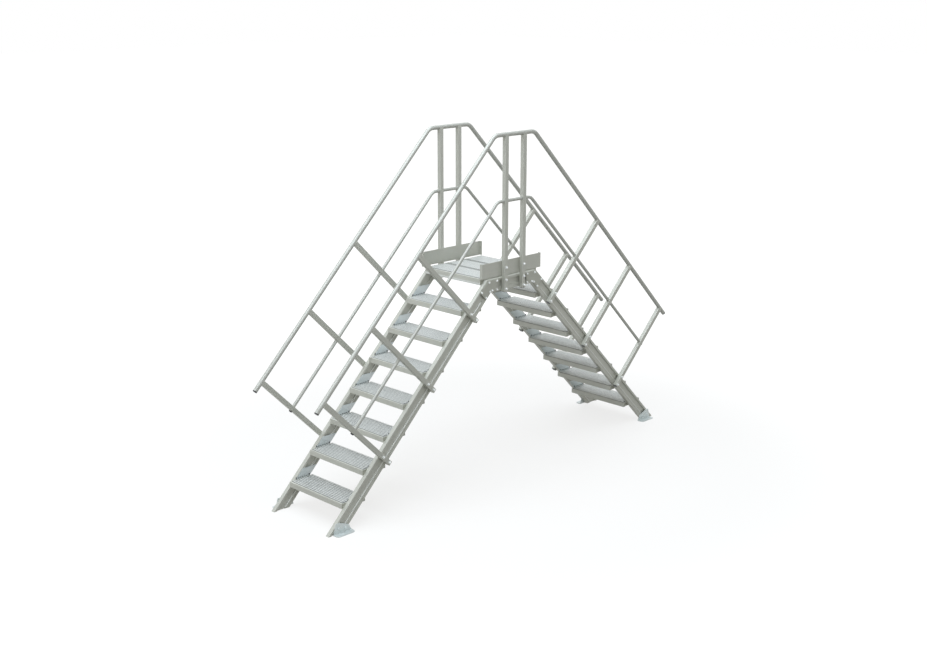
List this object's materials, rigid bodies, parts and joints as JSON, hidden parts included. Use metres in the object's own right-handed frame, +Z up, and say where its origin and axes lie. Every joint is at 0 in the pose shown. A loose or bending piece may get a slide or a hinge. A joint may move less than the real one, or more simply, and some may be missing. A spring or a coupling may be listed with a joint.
{
  "type": "crossover platform",
  "caption": "Aluminium crossover platform with a flight of treads up each side, a planked deck, toe boards, and round top and knee rails on square posts.",
  "frame": {"origin": "on the floor, under the middle of the deck", "axes": "+X along the way over, towards the right flight; +Y across the stair, towards the far side; +Z up"},
  "size_m": [3.9576, 0.78, 2.71],
  "materials": {
    "frame": "mill finish extrusion",
    "tread": "ribbed extrusion",
    "deck": "ribbed extrusion",
    "toe_board": "folded sheet",
    "plate": "flat plate",
    "post": "extruded square tube",
    "rail": "drawn round tube",
    "cap": "moulded end caps",
    "zinc": "zinc plated"
  },
  "bodies": {
    "root": {"deck_plank_1": "deck", "deck_plank_2": "deck", "deck_plank_3": "deck", "elbow_plate_left_far": "plate", "elbow_plate_left_near": "plate", "elbow_plate_right_far": "plate", "elbow_plate_right_near": "plate", "flight_posts_left_far": "post", "flight_posts_left_near": "post", "flight_posts_right_far": "post", "flight_posts_right_near": "post", "foot_left_far": "zinc", "foot_left_near": "zinc", "foot_right_far": "zinc", "foot_right_near": "zinc", "knee_rail_caps": "cap", "knee_rail_far": "rail", "knee_rail_near": "rail", "platform_beam_far": "frame", "platform_beam_near": "frame", "platform_posts_far": "post", "platform_posts_near": "post", "stringer_left_far": "frame", "stringer_left_near": "frame", "stringer_right_far": "frame", "stringer_right_near": "frame", "toe_board_far": "toe_board", "toe_board_near": "toe_board", "top_rail_caps": "cap", "top_rail_far": "rail", "top_rail_near": "rail", "tread_left_1": "tread", "tread_left_2": "tread", "tread_left_3": "tread", "tread_left_4": "tread", "tread_left_5": "tread", "tread_left_6": "tread", "tread_left_7": "tread", "tread_right_1": "tread", "tread_right_2": "tread", "tread_right_3": "tread", "tread_right_4": "tread", "tread_right_5": "tread", "tread_right_6": "tread", "tread_right_7": "tread"}
  },
  "joints": []
}
